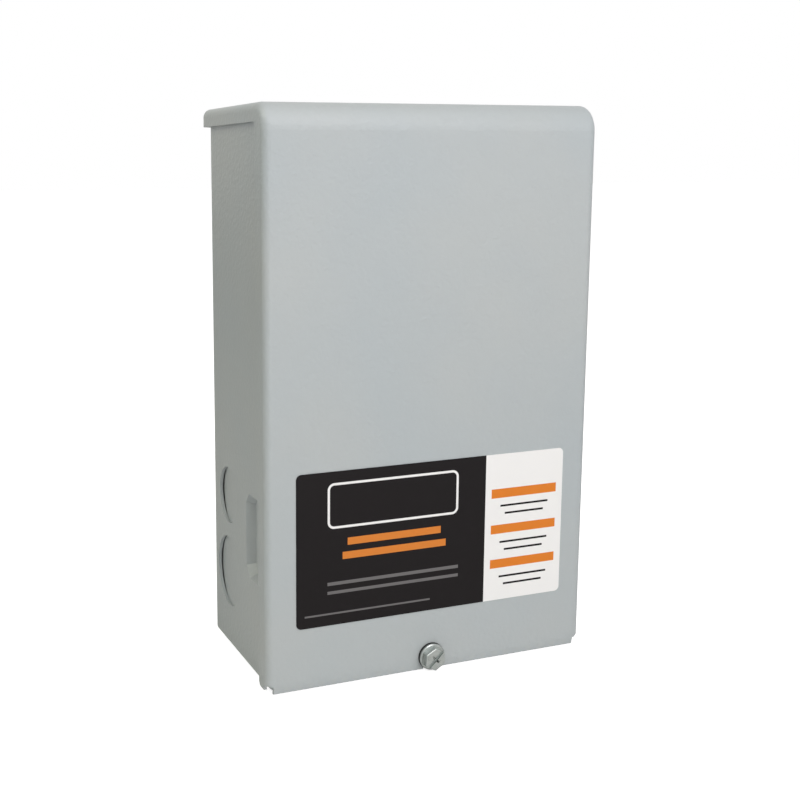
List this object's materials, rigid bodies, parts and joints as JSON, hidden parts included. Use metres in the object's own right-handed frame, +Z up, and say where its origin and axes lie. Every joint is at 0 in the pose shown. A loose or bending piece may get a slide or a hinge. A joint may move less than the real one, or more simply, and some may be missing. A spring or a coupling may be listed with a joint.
{
  "type": "magnetic motor starter",
  "caption": "Wall-mounted steel motor control box with a hook-on cover over a magnetic relay, start capacitor, overload with reset and terminal block.",
  "frame": {"origin": "centre of the four wall-screw holes, on the plane of the wall that the pressed feet stand on", "axes": "+X to the right of someone facing the cover, +Y into the wall, +Z up"},
  "size_m": [0.134, 0.0795, 0.2155],
  "materials": {
    "enamel": "satin grey enamel",
    "foam": "black closed-cell foam",
    "label_film": "printed film",
    "seal_rubber": "black neoprene",
    "zinc_plate": "clear zinc plate",
    "green_zinc": "green dyed screw",
    "black_phenolic": "moulded phenolic",
    "brown_phenolic": "brown phenolic board",
    "tinned_brass": "tinned",
    "resistor_body": "coated",
    "strap_steel": "galvanised",
    "soft_iron": "zinc flashed iron",
    "white_nylon": "natural nylon",
    "copper_wire": "enamelled copper",
    "contact_brass": "brass",
    "spring_steel": "music wire",
    "red_plastic": "moulded",
    "clear_vinyl": "nylon sleeve",
    "orange_vinyl": "insulation",
    "black_vinyl": "insulation",
    "blue_vinyl": "insulation",
    "red_vinyl": "insulation",
    "white_vinyl": "insulation",
    "yellow_vinyl": "insulation"
  },
  "bodies": {
    "box": {"box_body": "enamel", "knockouts_half_inch": "enamel", "knockouts_three_quarter": "enamel", "knockouts_bottom": "enamel", "ground_screw": "green_zinc", "strap_screws": "zinc_plate", "relay_screws": "zinc_plate", "overload_screws": "zinc_plate", "block_screws": "zinc_plate", "capacitor_can": "black_phenolic", "capacitor_end": "brown_phenolic", "capacitor_tabs": "tinned_brass", "bleed_resistor": "resistor_body", "capacitor_strap": "strap_steel", "relay_base": "black_phenolic", "relay_yoke": "soft_iron", "armature_pin": "soft_iron", "relay_core": "soft_iron", "coil_bobbin": "white_nylon", "coil_winding": "copper_wire", "fixed_contact": "contact_brass", "return_spring": "spring_steel", "relay_tabs": "tinned_brass", "overload_case": "black_phenolic", "overload_lid": "brown_phenolic", "lid_rivets": "tinned_brass", "bimetal_disc": "contact_brass", "reset_spring": "spring_steel", "overload_tabs": "tinned_brass", "terminal_block": "black_phenolic", "terminal_plates": "tinned_brass", "binding_screws": "zinc_plate", "receptacles": "clear_vinyl", "lead_orange": "orange_vinyl", "lead_black": "black_vinyl", "lead_blue": "blue_vinyl", "lead_red": "red_vinyl", "lead_white": "white_vinyl", "lead_yellow": "yellow_vinyl"},
    "cover": {"cover": "enamel", "hook_gasket": "foam", "label": "label_film"},
    "screw_seal": {"screw_washer": "seal_rubber"},
    "screw": {"cover_screw": "zinc_plate"},
    "armature": {"relay_armature": "soft_iron", "moving_contact": "contact_brass"},
    "reset": {"reset_button": "red_plastic"}
  },
  "joints": [
    {"name": "cover_lift", "type": "slide", "parent": "box", "child": "cover", "axis": [0, 0, 1], "range_m": [0, 0.225]},
    {"name": "screw_advance", "type": "slide", "parent": "box", "child": "screw_seal", "axis": [0, -1, 0], "range_m": [0, 0.00476]},
    {"name": "screw_turn", "type": "hinge", "parent": "screw_seal", "child": "screw", "pos_m": [0, -0.0748, -0.1026], "axis": [0, -1, 0], "range_deg": [0, 2160]},
    {"name": "armature_swing", "type": "hinge", "parent": "box", "child": "armature", "pos_m": [-0.033, -0.0146, -0.0123], "axis": [-1, 0, 0], "range_deg": [0, 7], "stiffness_Nm_per_rad": 0.02, "springref_deg": -14.32, "deforming": ["return_spring"]},
    {"name": "reset_press", "type": "slide", "parent": "box", "child": "reset", "axis": [0, 0, 1], "range_m": [0, 0.003], "stiffness_N_per_m": 100, "springref_m": -0.006, "deforming": ["reset_spring"]}
  ],
  "couplings": [
    {"joint": "screw_turn", "follows": "screw_advance", "rad_per_m": 7915.8}
  ]
}
